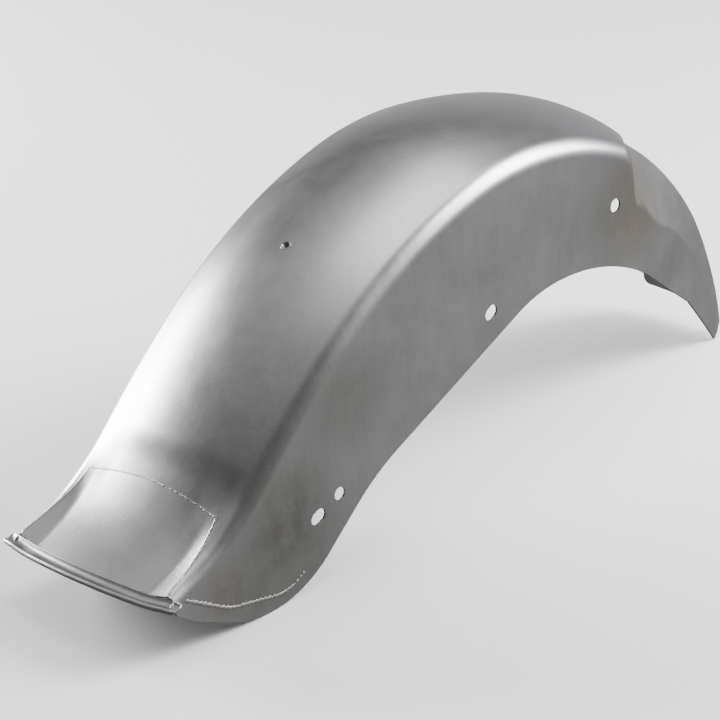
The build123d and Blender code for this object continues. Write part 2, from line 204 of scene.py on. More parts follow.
def base_point(s, v):
    """Outside of the smooth sheet and its tangent in the section.

    v runs from the left foot to the right in ten parts: skirt, corner, flank, blend and crown, and back.
    """
    x, z, slope = path(s)
    width, corner, radius, edge_y, edge_z, blend, tilt, lean = smooth_rows(key_s, key_v, s).T
    side = np.where(v <= 5, 1.0, -1.0)
    q = np.where(v <= 5, v, 10 - v)
    wall = 90.0 - lean
    flank = np.degrees(np.arctan2(edge_z - corner, width - edge_y))
    setback = radius * np.tan(rad(wall - flank) / 2)
    low = (width + setback * np.cos(rad(wall)), corner - setback * np.sin(rad(wall)))
    high = (width - setback * np.cos(rad(flank)), corner + setback * np.sin(rad(flank)))
    blend_low = (edge_y + blend * np.cos(rad(flank)), edge_z - blend * np.sin(rad(flank)))
    blend_high = (edge_y - blend * np.cos(rad(tilt)), edge_z + blend * np.sin(rad(tilt)))
    y, h, phi = np.empty_like(s), np.empty_like(s), np.empty_like(s)

    # Skirt
    m = q < 1
    depth = skirt_depth * (1 - q[m])
    y[m] = low[0][m] + depth * np.cos(rad(wall[m]))
    h[m] = low[1][m] - depth * np.sin(rad(wall[m]))
    phi[m] = rad(wall[m])
    # Corner
    m = (q >= 1) & (q < 2)
    t = rad(wall[m]) - rad(wall[m] - flank[m]) * (q[m] - 1)
    y[m] = low[0][m] + radius[m] * (np.sin(t) - np.sin(rad(wall[m])))
    h[m] = low[1][m] + radius[m] * (np.cos(t) - np.cos(rad(wall[m])))
    phi[m] = t
    # Flank
    m = (q >= 2) & (q < 3)
    t = q[m] - 2
    y[m] = high[0][m] + t * (blend_low[0][m] - high[0][m])
    h[m] = high[1][m] + t * (blend_low[1][m] - high[1][m])
    phi[m] = rad(flank[m])
    # Blend
    m = (q >= 3) & (q < 4)
    turn = rad(flank[m] - tilt[m])
    turn = np.where(np.abs(turn) < 1e-5, 1e-5, turn)
    t = rad(flank[m]) - turn * (q[m] - 3)
    chord = np.hypot(blend_high[0][m] - blend_low[0][m], blend_high[1][m] - blend_low[1][m])
    r = chord / (2 * np.sin(turn / 2))
    y[m] = blend_low[0][m] + r * (np.sin(t) - np.sin(rad(flank[m])))
    h[m] = blend_low[1][m] + r * (np.cos(t) - np.cos(rad(flank[m])))
    phi[m] = t
    # Crown
    m = q >= 4
    t = rad(tilt[m]) * (5 - q[m])
    r = blend_high[0][m] / np.sin(rad(tilt[m]))
    y[m] = r * np.sin(t)
    h[m] = blend_high[1][m] + r * (np.cos(t) - np.cos(rad(tilt[m])))
    phi[m] = t

    cs, sn = np.cos(rad(slope)), np.sin(rad(slope))
    point = np.stack([x - h * sn, side * y, z + h * cs], -1)
    across = np.stack([sn * -np.sin(phi), side * -np.cos(phi), cs * np.sin(phi)], -1)
    return point, across


def ridge_rise(grown, inside):
    """Height of the ridges, at a distance inside their crest."""
    outside_reach = 9.0
    inner = np.clip(1 - inside / (ridge_width * grown + 1e-3), 0, 1) ** 2
    outer = np.clip(1 + inside / outside_reach, 0, 1)
    return ridge_height * grown * np.where(inside > 0, inner, outer * outer * (3 - 2 * outer))


def relief(p):
    """Height of the hand-worked marks over the smooth sheet, in millimetres."""
    x, y, z = p.T
    out = np.zeros(len(p))
    for (cx, cy, cz), size, height in dents:
        d = ((x - cx) ** 2 + (y - cy) ** 2 + (z - cz) ** 2) / size ** 2
        out += height * np.exp(-d)
    # The crown runs on straight to its seam, and the panel starts there at a lower slope
    ahead_reach, after_reach, side_fade = 66.0, 62.0, 30.0
    ahead = np.clip((seam_x + ahead_reach - x) / ahead_reach, 0, 1)
    after = np.clip(1 - (seam_x - x) / after_reach, 0, 1)
    middle = np.clip((ridge_seam_y + 2.0 - np.abs(y)) / side_fade, 0, 1)
    kink = np.where(x > seam_x, ahead ** 2, after ** 2)
    out -= seam_dip * kink * middle * middle * (3 - 2 * middle) * (z > 0)
    # Each side of the panel turns up to a ridge that grows towards the lip
    grown = np.clip((seam_x - x) / (seam_x - lip_end[0]), 0, 1.1)
    out += ridge_rise(grown, ridge_seam_y + (ridge_lip_y - ridge_seam_y) * grown - np.abs(y)) * (z > 30)
    # Slight waves, and a little less all over, which keeps their tops within the solids' box
    wave = np.sin(x * 0.045 + 1.3) * np.cos(z * 0.038 + y * 0.021) + 0.6 * np.sin(x * 0.081 - z * 0.067 + 2.0)
    return out + 0.05 * wave - 0.09


def surface(sv, level=0.0):
    """Points and normals of the worked sheet, moved inwards by a level."""
    s, v = sv.T
    p, across = base_point(s, v)
    e = 0.4
    ahead, _ = base_point(np.minimum(s + e, s_total), v)
    back, _ = base_point(np.maximum(s - e, 0.0), v)
    n = np.cross(across, ahead - back)
    n *= np.where(v <= 5, -1.0, 1.0)[:, None]
    n /= np.linalg.norm(n, axis=1)[:, None] + 1e-12
    along = np.cross(n, across)
    g1 = (relief(p + across) - relief(p - across)) / 2
    g2 = (relief(p + along) - relief(p - along)) / 2
    q = p + n * (relief(p) - level)[:, None]
    m = n - g1[:, None] * across - g2[:, None] * along
    m /= np.linalg.norm(m, axis=1)[:, None]
    return q, m


# Curves in the side view
def rounded(points, radii, closed=False):
    """Corners of a line rounded by arcs, as a dense line. A closed line has one radius."""
    pts = [np.array(p, float) for p in points]
    n = len(pts)
    out = []
    for i in range(n):
        if not closed and i in (0, n - 1):
            out.append(pts[i][None])
            continue
        a, b, c = pts[i - 1], pts[i], pts[(i + 1) % n]
        r = radii[i - 1] if not closed else radii
        u, w = (a - b) / np.linalg.norm(a - b), (c - b) / np.linalg.norm(c - b)
        half = np.arccos(np.clip(u @ w, -1, 1)) / 2
        bis = (u + w) / np.linalg.norm(u + w)
        centre = b + bis * r / np.sin(half)
        p0, p1 = b + u * r / np.tan(half), b + w * r / np.tan(half)
        a0, a1 = np.arctan2(*(p0 - centre)[::-1]), np.arctan2(*(p1 - centre)[::-1])
        turn = (a1 - a0 + np.pi) % (2 * np.pi) - np.pi
        steps = max(4, int(abs(turn) * np.sqrt(r) / 0.3))
        ang = a0 + turn * np.linspace(0, 1, steps + 1)
        out.append(centre + r * np.stack([np.cos(ang), np.sin(ang)], -1))
    line = np.vstack(out)
    return np.vstack([line, line[:1]]) if closed else line


def side_of(line, q, chunk=4000):
    """Signed distance to a line, whose ends run on unless it is closed: positive to its left."""
    a, d = line[:-1], np.diff(line, axis=0)
    ll = (d ** 2).sum(1)
    res = np.empty(len(q))
    run_on = 0.0 if np.allclose(line[0], line[-1]) else 1e3
    for i in range(0, len(q), chunk):
        w = q[i:i + chunk, None] - a[None]
        t = (w * d).sum(2) / ll
        lo, hi = np.zeros(len(a)), np.ones(len(a))
        lo[0], hi[-1] = -run_on, 1.0 + run_on
        t = np.clip(t, lo, hi)
        off = w - t[:, :, None] * d
        dist = np.hypot(off[:, :, 0], off[:, :, 1])
        k = dist.argmin(1)
        rows = np.arange(len(k))
        cross = d[k, 0] * w[rows, k, 1] - d[k, 1] * w[rows, k, 0]
        res[i:i + chunk] = dist[rows, k] * np.where(cross >= 0, 1, -1)
    return res


edge_line = rounded(skirt_edge, skirt_edge_radii)
weld_curve = rounded(weld_line, weld_line_radii)
cut_line = rounded(far_cut, far_cut_radius, closed=True)
end_line = rounded(nose_end, nose_end_radii)
plan_radius = (lip_end[1] ** 2 + lip_bow ** 2) / (2 * lip_bow)
plan_centre = lip_end[0] - lip_bow + plan_radius
seat_n = np.array([-np.sin(rad(seat_slope)), 0.0, np.cos(rad(seat_slope))])
seat_foot = path(np.array([at_slope(seat_slope, 1)]))
seat_top = np.array([seat_foot[0][0], 0.0, seat_foot[1][0]]) + crown_height * seat_n


# Trims are positive where the sheet stays, and divisions are positive inside their piece
def keep_skirt(p):
    return side_of(edge_line, p[:, [0, 2]]) - bulge


def keep_tail(p):
    return plan_radius - np.hypot(p[:, 0] - plan_centre, p[:, 1])


def keep_far(p):
    return np.maximum(far_cut_y - bulge - p[:, 1], side_of(cut_line, p[:, [0, 2]]) - bulge)


def keep_end(p):
    inside = side_of(end_line, p[:, [1, 2]]) - bulge
    return np.where(p[:, 0] > wheel[0] + arch_radius, inside, clear)


def keep_hole(centre, r, half, angle, p):
    a = rad(angle)
    dx, dz = p[:, 0] - centre[0], p[:, 2] - centre[1]
    u, w = dx * np.cos(a) + dz * np.sin(a), -dx * np.sin(a) + dz * np.cos(a)
    u = np.maximum(np.abs(u) - half, 0.0)
    on_skirt = np.abs(p[:, 1]) > 60
    return np.where(on_skirt, np.hypot(u, w) - r - bulge, clear)


def keep_seat(p):
    w = p - seat_top
    return np.linalg.norm(w - (w @ seat_n)[:, None] * seat_n, axis=1) - seat_hole_radius


def in_panel(p):
    side = (ridge_seam_y + ridge_spread * (seam_x - p[:, 0]) - np.abs(p[:, 1])) / np.hypot(1, ridge_spread)
    return np.where(p[:, 2] > 0, np.minimum(seam_x - p[:, 0], side), -clear)


def in_strip(p):
    on_skirt = np.abs(p[:, 1]) > 100
    return np.where(on_skirt, -side_of(weld_curve, p[:, [0, 2]]), -clear)


# Trimming of a mesh held as (s, v) pairs
def unique_edges(tri):
    e = np.sort(np.vstack([tri[:, [0, 1]], tri[:, [1, 2]], tri[:, [2, 0]]]), 1)
    key, inv = np.unique(e[:, 0].astype(np.int64) << 32 | e[:, 1], return_inverse=True)
    return np.stack([key >> 32, key & 0xFFFFFFFF], 1), inv.reshape(3, -1).T


def split_edges(sv, tri, marked, edges, of_tri, middle):
    """Split the marked edges of a mesh, with no gap left between neighbours."""
    new = np.full(len(edges), -1)
    new[marked] = len(sv) + np.arange(marked.sum())
    sv = np.vstack([sv, middle])
    m = new[of_tri]
    hit = m >= 0
    count = hit.sum(1)
    out = [tri[count == 0]]
    for k in range(3):
        o = [k, (k + 1) % 3, (k + 2) % 3]
        sel = (count == 1) & hit[:, k]
        a, b, c = tri[sel][:, o].T
        ab = m[sel, k]
        out += [np.stack([a, ab, c], 1), np.stack([ab, b, c], 1)]
        sel = (count == 2) & ~hit[:, k]
        a, b, c = tri[sel][:, o].T
        bc, ca = m[sel, (k + 1) % 3], m[sel, (k + 2) % 3]
        out += [np.stack([a, b, bc], 1), np.stack([a, bc, ca], 1), np.stack([ca, bc, c], 1)]
    sel = count == 3
    a, b, c = tri[sel].T
    ab, bc, ca = m[sel].T
    out += [np.stack(q, 1) for q in ((a, ab, ca), (ab, b, bc), (ca, bc, c), (ab, bc, ca))]
    return sv, np.vstack(out)


def refine(sv, tri, f, size, rounds=3):
    """Finer triangles along the line where f is zero."""
    for _ in range(rounds):
        p, _ = base_point(*sv.T)
        val = f(p)
        edges, of_tri = unique_edges(tri)
        a, b = edges.T
        length = np.linalg.norm(p[a] - p[b], axis=1)
        near = (val[a] * val[b] < 0) | (np.minimum(np.abs(val[a]), np.abs(val[b])) < 0.6 * length)
        marked = near & (length > size)
        if not marked.any():
            break
        middle = (sv[a[marked]] + sv[b[marked]]) / 2
        sv, tri = split_edges(sv, tri, marked, edges, of_tri, middle)
    return sv, tri


def crossing(low, high, f, low_positive, rounds):
    """Halve the spans between two rows of (s, v) pairs, down to where f changes sign."""
    low, high = low.copy(), high.copy()
    for _ in range(rounds):
        mid = (low + high) / 2
        same = (f(base_point(*mid.T)[0]) > 0) == low_positive
        low[same] = mid[same]
        high[~same] = mid[~same]
    return low, high


def compact(sv, tri):
    used, inv = np.unique(tri, return_inverse=True)
    return sv[used], inv.reshape(-1, 3)


def clip(sv, tri, f):
    """Keep the part of a mesh where f is positive."""
    on_line = 1e-4
    val = f(base_point(*sv.T)[0])
    val = np.where(np.abs(val) < on_line, on_line, val)
    edges, of_tri = unique_edges(tri)
    a, b = edges.T
    marked = val[a] * val[b] < 0
    if marked.any():
        low, high = crossing(sv[a[marked]], sv[b[marked]], f, val[a[marked]] > 0, 14)
        sv, tri = split_edges(sv, tri, marked, edges, of_tri, (low + high) / 2)
        val = np.concatenate([val, np.zeros(len(low))])
    return compact(sv, tri[(val[tri].max(1) > 0) & (val[tri].min(1) >= 0)])


# Materials
def node_material(name, build):
    mat = bpy.data.materials.new(name)
    mat.use_nodes = True
    nt = mat.node_tree
    nt.nodes.clear()
    out = nt.nodes.new("ShaderNodeOutputMaterial")
    bsdf = nt.nodes.new("ShaderNodeBsdfPrincipled")
    nt.links.new(bsdf.outputs["BSDF"], out.inputs["Surface"])
    build(nt, bsdf)
    return mat


def add(nt, kind, **values):
    """New node; a value goes to the input of its name, or else to the node's own setting."""
    node = nt.nodes.new(kind)
    for key, value in values.items():
        if key in node.inputs:
            node.inputs[key].default_value = value
        else:
            setattr(node, key, value)
    return node


def feed(nt, socket, value):
    """Link a node's output to an input, or set the input to a plain value."""
    if hasattr(value, "is_output"):
        nt.links.new(value, socket)
    else:
        socket.default_value = value


def spot(nt, coords, centre, size):
    """One at a point of the object, falling to zero at a distance."""
    d = add(nt, "ShaderNodeVectorMath", operation="DISTANCE")
    nt.links.new(coords, d.inputs[0])
    d.inputs[1].default_value = [c / 1000 for c in centre]
    r = add(nt, "ShaderNodeMapRange", interpolation_type="SMOOTHERSTEP")
    r.inputs["From Min"].default_value = size / 1000
    r.inputs["From Max"].default_value = 0.0
    nt.links.new(d.outputs["Value"], r.inputs["Value"])
    return r.outputs["Result"]


def mix_colour(nt, factor, a, b, blend="MIX"):
    m = add(nt, "ShaderNodeMix", data_type="RGBA", blend_type=blend)
    for key, value in (("Factor", factor), ("A", a), ("B", b)):
        feed(nt, m.inputs[key], value)
    return m.outputs["Result"]


def noise(nt, vector, scale, detail=4.0, rough=0.6, stretch=None):
    node = add(nt, "ShaderNodeTexNoise", Scale=scale, Detail=detail, Roughness=rough)
    if stretch:
        mapping = add(nt, "ShaderNodeMapping")
        mapping.inputs["Scale"].default_value = stretch
        nt.links.new(vector, mapping.inputs["Vector"])
        vector = mapping.outputs["Vector"]
    nt.links.new(vector, node.inputs["Vector"])
    return node.outputs["Fac"]


def ranged(nt, value, low, high, start=0.3, stop=0.7):
    """Value of a texture spread over a range."""
    node = add(nt, "ShaderNodeMapRange", interpolation_type="SMOOTHSTEP")
    for key, number in (("From Min", start), ("From Max", stop), ("To Min", low), ("To Max", high)):
        node.inputs[key].default_value = number
    nt.links.new(value, node.inputs["Value"])
    return node.outputs["Result"]


def maths(nt, operation, first, second):
    node = add(nt, "ShaderNodeMath", operation=operation)
    for socket, value in zip(node.inputs, (first, second)):
        feed(nt, socket, value)
    return node.outputs[0]


def steel(base, heat_tints_and_shade=(), rough=(0.31, 0.345), bump=0.3, mottle=0.03):
    """Bare worked steel: mill clouds, rolling grain, short rubbed strokes, fine pits, heat tints and patches of
    painted shade.
    """
    def build(nt, bsdf):
        co = nt.nodes.new("ShaderNodeTexCoord").outputs["Object"]
        cloud = noise(nt, co, 11.0, 6.0, 0.62)
        patches = noise(nt, co, 46.0, 4.0, 0.6)
        grain = noise(nt, co, 1.0, 3.0, 0.6, (55.0, 800.0, 800.0))
        strokes = noise(nt, co, 1.0, 2.0, 0.5, (240.0, 240.0, 28.0))
        grit = noise(nt, co, 620.0, 2.0, 0.6)
        pits = ranged(nt, noise(nt, co, 260.0, 1.0, 0.4), 0.0, 1.0, 0.68, 0.76)
        tone = maths(nt, "ADD", ranged(nt, cloud, 1 - mottle, 1 + mottle), ranged(nt, patches, -0.025, 0.025))
        tone = maths(nt, "ADD", tone, ranged(nt, strokes, -0.03, 0.03))
        tone = maths(nt, "SUBTRACT", tone, maths(nt, "MULTIPLY", pits, 0.05))
        shade = nt.nodes.new("ShaderNodeCombineXYZ")
        for axis in "XYZ":
            nt.links.new(tone, shade.inputs[axis])
        colour = mix_colour(nt, 1.0, tuple(base) + (1.0,), shade.outputs[0], "MULTIPLY")
        # Each patch multiplies the colour: a heat tint, or a grey patch of painted shade
        for centre, size, tint, amount in heat_tints_and_shade:
            tint_and_shade_mask = ranged(nt, patches, 0.6 * amount, 1.2 * amount)
            tint_and_shade_mask = maths(nt, "MULTIPLY", spot(nt, co, centre, size), tint_and_shade_mask)
            colour = mix_colour(nt, tint_and_shade_mask, colour, tint, "MULTIPLY")
        nt.links.new(colour, bsdf.inputs["Base Color"])
        dull = maths(nt, "ADD", ranged(nt, cloud, *rough), ranged(nt, patches, -0.008, 0.01))
        dull = maths(nt, "ADD", dull, maths(nt, "MULTIPLY", pits, 0.04))
        nt.links.new(dull, bsdf.inputs["Roughness"])
        height = maths(nt, "ADD", maths(nt, "MULTIPLY", grit, 0.5), grain)
        height = maths(nt, "ADD", height, maths(nt, "MULTIPLY", strokes, 0.8))
        b = add(nt, "ShaderNodeBump", Strength=bump, Distance=0.0002)
        nt.links.new(height, b.inputs["Height"])
        nt.links.new(b.outputs["Normal"], bsdf.inputs["Normal"])
        bsdf.inputs["Metallic"].default_value = 1.0
    return build


# Heat tints and painted shade: middle, reach, colour that multiplies the steel, amount. Brown, purple and straw are
# heat tints; the smoke grey darkens the near skirt towards its bottom, tail and top as painted shade, and one smoke
# patch lies with the heat tints at the front
brown = (1.0, 0.86, 0.72, 1.0)
purple = (0.94, 0.86, 1.06, 1.0)
# Smoke grey: painted shade where it darkens the near skirt's bottom, tail and top; one patch lies with the heat tints
# at the front
smoke_and_painted_shade = (0.60, 0.58, 0.55, 1.0)
straw = (0.92, 0.84, 0.74, 1.0)
heat_tints_and_shade = (((245.0, -105.0, 215.0), 85.0, brown, 0.75), ((190.0, -90.0, 300.0), 70.0, purple, 0.5),
         ((215.0, -105.0, 240.0), 110.0, smoke_and_painted_shade, 0.5), ((-250.0, -105.0, 15.0), 130.0, smoke_and_painted_shade, 0.6),
         ((-330.0, -105.0, 40.0), 90.0, smoke_and_painted_shade, 0.5), ((-262.0, -98.0, 92.0), 85.0, smoke_and_painted_shade, 0.8),
         ((-180.0, -100.0, 165.0), 90.0, smoke_and_painted_shade, 0.5), ((-350.0, -105.0, 45.0), 40.0, straw, 0.7))
sheet_steel = node_material("bare_steel", steel((0.40, 0.40, 0.395), heat_tints_and_shade))
weld_steel = node_material("weld_steel", steel((0.33, 0.325, 0.315), (), (0.44, 0.56), 0.8, 0.1))
bung_steel = node_material("bung_steel", steel((0.42, 0.42, 0.41), (), (0.26, 0.38), 0.3, 0.08))


# Pieces
def place_piece(name, verts, faces, material, node=None, normals=None, sharp=None):
    """Smooth mesh from millimetres, on the part's one body and in the place of a node's solid.

    normals has one row for each corner of each face, and sharp is the angle from which edges stay sharp.
    """
    mesh = bpy.data.meshes.new(name)
    mesh.from_pydata((verts / 1000).tolist(), [], faces)
    mesh.shade_smooth()
    if normals is not None:
        mesh.normals_split_custom_set(normals.reshape(-1, 3).tolist())
    if sharp is not None:
        mesh.set_sharp_from_angle(angle=rad(sharp))
    mesh.materials.append(material)
    obj = bpy.data.objects.new(name, mesh)
    bpy.context.scene.collection.objects.link(obj)
    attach(obj, "root")
    if node:
        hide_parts(node)


def thick(name, sv, tri, seams, node, material):
    """Closed sheet from the trimmed outside: two faces and a rim, rounded except at the seams."""
    outer, n = surface(sv)
    inner, _ = surface(sv, sheet)
    edges, of_tri = unique_edges(tri)
    count = np.bincount(of_tri.ravel(), minlength=len(edges))
    directed = np.vstack([tri[:, [0, 1]], tri[:, [1, 2]], tri[:, [2, 0]]])
    rim = directed[count[of_tri.T.ravel()] == 1]
    m = len(sv)
    p0, _ = base_point(*sv.T)
    on_seam = 0.02
    free = np.ones(m, bool)
    for f in seams:
        free &= np.abs(f(p0)) > on_seam
    out_dir = np.zeros((m, 3))
    d = np.cross(outer[rim[:, 1]] - outer[rim[:, 0]], n[rim[:, 0]])
    d /= np.linalg.norm(d, axis=1)[:, None] + 1e-9
    np.add.at(out_dir, rim[:, 0], d)
    np.add.at(out_dir, rim[:, 1], d)
    out_dir /= np.linalg.norm(out_dir, axis=1)[:, None] + 1e-9
    step = (bulge * free)[:, None]
    upper_ring = outer - n * rim_inset + out_dir * step
    lower_ring = outer - n * (sheet - rim_inset) + out_dir * step
    verts = np.vstack([outer, inner, upper_ring, lower_ring])
    r0, r1 = rim.T
    strips, strip_n = [], []
    ring_n = (n * 0.5 + out_dir, out_dir - n * 0.5, out_dir + n * 0.2, out_dir - n * 0.2)
    for lo, hi in ((0, 2), (2, 3), (3, 1)):
        for tri_ids in (((r1, lo), (r0, lo), (r0, hi)), ((r1, lo), (r0, hi), (r1, hi))):
            strips.append(np.stack([i + k * m for i, k in tri_ids], 1))
            strip_n.append(np.stack([ring_n[k][i] for i, k in tri_ids], 1))
    tris = np.vstack([tri, tri[:, ::-1] + m] + strips)
    normals = np.vstack([n[tri], -n[tri[:, ::-1]]] + strip_n)
    normals /= np.linalg.norm(normals, axis=2)[:, :, None] + 1e-9
    used, inv = np.unique(tris, return_inverse=True)
    place_piece(name, verts[used], inv.reshape(-1, 3).tolist(), material, node, normals)


# Whole sheet: rows along the shoulder line, closer at the step, and columns over the section
row_gap = 5.2
part_steps = (26, 10, 7, 5, 16)
half_v = np.concatenate([k + np.arange(n) / n for k, n in enumerate(part_steps)] + [[5.0]])
v_lines = np.concatenate([half_v, 10 - half_v[::-1][1:]])
step_rows = np.arange(at_slope(-40, 0), at_slope(-25, 0), row_gap / 2)
s_lines = np.unique(np.concatenate([np.arange(0, s_total, row_gap), step_rows, [s_total]]))
ss, vv = np.meshgrid(s_lines, v_lines, indexing="ij")
sv = np.stack([ss.ravel(), vv.ravel()], -1)
idx = np.arange(ss.size).reshape(ss.shape)
a, b, c, d = idx[:-1, :-1].ravel(), idx[1:, :-1].ravel(), idx[1:, 1:].ravel(), idx[:-1, 1:].ravel()
tri = np.vstack([np.stack([a, b, c], 1), np.stack([a, c, d], 1)])

# One triangle tells whether the faces look outwards
sample = tri[len(tri) // 4]
corners, _ = base_point(*sv[sample].T)
facing = np.cross(corners[1] - corners[0], corners[2] - corners[0])
if facing @ surface(sv[sample[:1]])[1][0] < 0:
    tri = tri[:, ::-1]

trims = [(keep_skirt, 3.0), (keep_tail, 3.0), (keep_far, 2.0), (keep_end, 2.0), (keep_seat, 1.2)]
for hole in holes:
    trims.append((lambda p, hole=hole: keep_hole(*hole, p), 1.2))
for f, size in trims:
    sv, tri = refine(sv, tri, f, size)
    sv, tri = clip(sv, tri, f)
panel = refine(sv, tri, in_panel, 3.0)
shell = clip(*panel, lambda p: -in_panel(p))
panel = clip(*panel, in_panel)
shell = refine(*shell, in_strip, 2.5)
strips = clip(*shell, in_strip)
shell = clip(*shell, lambda p: -in_strip(p))
thick("shell_skin", *shell, (in_panel, in_strip, keep_seat), "fender_shell", sheet_steel)
thick("panel_skin", *panel, (in_panel, keep_tail), "tail_panel", sheet_steel)
strip_side = np.sign(5 - strips[0][strips[1][:, 0], 1])
for side, node in ((-1, "tail_strip_right"), (1, "tail_strip_left")):
    strip = compact(strips[0], strips[1][strip_side == side])
    thick(node + "_skin", *strip, (in_strip,), node, sheet_steel)


def sweep(name, rings, material, node=None):
    """Skin through closed rings of points, capped at both ends."""
    rings = np.array(rings)
    k, m = rings.shape[:2]
    verts = np.vstack([rings.reshape(-1, 3), rings[0].mean(0)[None], rings[-1].mean(0)[None]])
    first_cap, last_cap, last_ring = k * m, k * m + 1, (k - 1) * m
    faces = []
    for i in range(0, last_ring, m):
        for j in range(m):
            after = (j + 1) % m
            faces.append((i + j, i + after, i + m + after, i + m + j))
    for j in range(m):
        after = (j + 1) % m
        faces.append((first_cap, after, j))
        faces.append((last_cap, last_ring + j, last_ring + after))
    place_piece(name, verts, faces, material, node)


def arc3(p0, p1, p2, n):
    """Points of the arc through three points, without the last."""
    (ax, ay), (bx, by), (cx, cy) = p0, p1, p2
    aa, bb, cc = ax * ax + ay * ay, bx * bx + by * by, cx * cx + cy * cy
    d = 2 * (ax * (by - cy) + bx * (cy - ay) + cx * (ay - by))
    ux = (aa * (by - cy) + bb * (cy - ay) + cc * (ay - by)) / d
    uy = (aa * (cx - bx) + bb * (ax - cx) + cc * (bx - ax)) / d
    a0, a1, a2 = (np.arctan2(q[1] - uy, q[0] - ux) for q in (p0, p1, p2))
    turn = (a2 - a0) % (2 * np.pi)
    if (a1 - a0) % (2 * np.pi) > turn:
        turn -= 2 * np.pi
    ang = a0 + turn * np.linspace(0, 1, n, endpoint=False)
    r = np.hypot(ax - ux, ay - uy)
    return np.stack([ux + r * np.cos(ang), uy + r * np.sin(ang)], -1)


# Lip: reach, drop and bead radius at distances from its middle, with ends rounded over a short run
lip_keys = np.array([0.0, 60.0, 100.0, 113.5])
lip_sizes = np.array([[13.25, 5.6, 2.9], [13.6, 5.3, 2.9], [13.8, 4.4, 2.7], [13.8, 3.0, 2.0]])
lip_half = 113.5
lip_rounding = 3.0
lip_even_half = 110.0
lip_top, lip_foot = -0.5, -2.4
rounding_steps = lip_rounding * (1 - np.cos(np.linspace(0.15, 1, 7) * np.pi / 2))
lip_ys = np.concatenate([[-lip_half], -lip_half + rounding_steps, np.linspace(-lip_even_half, lip_even_half, 111),
                         lip_half - rounding_steps[::-1], [lip_half]])
rings = []
for y in lip_ys:
    reach, drop, bead_radius = smooth_rows(lip_keys, lip_sizes, np.array([abs(y)]))[0]
    share = 1 - (y / lip_end[1]) ** 2
    ox, oz = lip_end[0] - lip_bow * share, lip_end[2] + lip_rise * share
    inside = max(ridge_lip_y - abs(y), 0.0) - max(abs(y) - ridge_lip_y, 0.0) * 0.3
    oz += float(ridge_rise(1.0, inside)) * 0.9
    root_x = -reach + bead_radius
    top, tip, under = (root_x, -drop + bead_radius), (-reach, -drop), (root_x, -drop - bead_radius)
    ring = np.vstack([[[0, lip_foot], [1.2, -1.5], [1.2, lip_top]],
                      arc3((0, lip_top), (-0.42 * reach, -drop), top, 14),
                      arc3(top, tip, under, 12),
                      arc3(under, (-0.3 * reach, -drop - 0.8 * bead_radius), (0, lip_foot), 10)])
    end = (lip_half - abs(y)) / lip_rounding
    if end < 1:
        scale = 0.25 + 0.75 * np.sqrt(max(0.0, 1 - (1 - end) ** 2))
        mid = np.array([-0.55 * reach, -drop * 0.75 - 0.8])
        ring = mid + (ring - mid) * scale
    rings.append(np.stack([ox + ring[:, 0], np.full(len(ring), y), oz + ring[:, 1]], -1))
sweep("lip", rings, sheet_steel, "tail_panel")


def turned(name, profile, centre, axis, material, node, count=72):
    """Closed ring turned about an axis from (radius, height) points."""
    first = np.array([0.0, 1.0, 0.0])
    second = np.cross(axis, first)
    verts, faces = [], []
    m = len(profile)
    for i in range(count):
        t = 2 * np.pi * i / count
        radial = first * np.cos(t) + second * np.sin(t)
        verts += [centre + r * radial + h * axis for r, h in profile]
        here, there = i * m, (i + 1) % count * m
        for j in range(m):
            after = (j + 1) % m
            faces.append((here + j, there + j, there + after, here + after))
    place_piece(name, np.array(verts), faces, material, node, sharp=35)


# Seat bung: hub and flange as (radius, height) points, then the rings of its thread
thread_crest, thread_root, thread_pitch = 3.32, 3.75, 0.8
profile = [(4.1, 0.0), (5.25, 0.0), (5.45, -0.15), (5.55, -0.4), (5.55, -2.3), (9.2, -2.3),
           (9.45, -2.6), (9.45, -7.6), (9.2, -7.9), (3.9, -7.9), (3.3, -7.4)]
for foot in np.arange(-7.0, -1.4, thread_pitch):
    profile += [(thread_crest, foot), (thread_root, foot + 0.3), (thread_root, foot + 0.4), (thread_crest, foot + 0.7)]
profile += [(3.4, -0.8), (4.05, -0.12)]
turned("bung_turned", profile, seat_top, seat_n, bung_steel, "seat_bung")


# Weld beads
def line_travel(line):
    """Length run at each point of a line."""
    return np.concatenate([[0], np.cumsum(np.linalg.norm(np.diff(line, axis=0), axis=1))])


def spaced(line, gap):
    """Points of a line at an even gap."""
    travel = line_travel(line)
    at = np.linspace(0, travel[-1], int(travel[-1] / gap) + 1)
    return np.stack([np.interp(at, travel, line[:, k]) for k in range(line.shape[1])], -1)


def bead(name, line, normals, half, height, lump, pitch, seed, material):
    """Flattened, lumpy bead laid on the sheet along a line of close points."""
    rng = np.random.default_rng(seed)
    travel = line_travel(line)
    marks = np.arange(0, travel[-1], pitch)
    sizes = 1 + lump * (rng.random(len(marks) + 2) - 0.5)
    along = np.gradient(line, axis=0)
    along /= np.linalg.norm(along, axis=1)[:, None]
    across = np.cross(normals, along)
    angles = np.linspace(0, 2 * np.pi, 12, endpoint=False)
    rings = []
    for i, (p, n, a) in enumerate(zip(line, normals, across)):
        k = travel[i] / pitch
        ripple = 0.72 + 0.28 * abs(np.sin(np.pi * k))
        size = np.interp(k, np.arange(len(sizes)), sizes) * ripple
        end = min(1.0, travel[i] / half, (travel[-1] - travel[i]) / half)
        size *= 0.25 + 0.75 * np.sqrt(max(0.0, end))
        shift = 0.15 * half * lump * np.sin(k * 1.7 + seed)
        rings.append([p + a * (shift + half * size * np.cos(t)) + n * height * size * np.sin(t) for t in angles])
    sweep(name, rings, material)


def sheet_line(low, high, f):
    """Points of the worked sheet and their normals where f changes sign between two rows of (s, v) pairs."""
    low_positive = f(base_point(*low.T)[0]) > 0
    return surface(crossing(low, high, f, low_positive, 24)[0])


def outside_ridge(p):
    return np.abs(p[:, 1]) - ridge_seam_y - ridge_spread * (seam_x - p[:, 0])


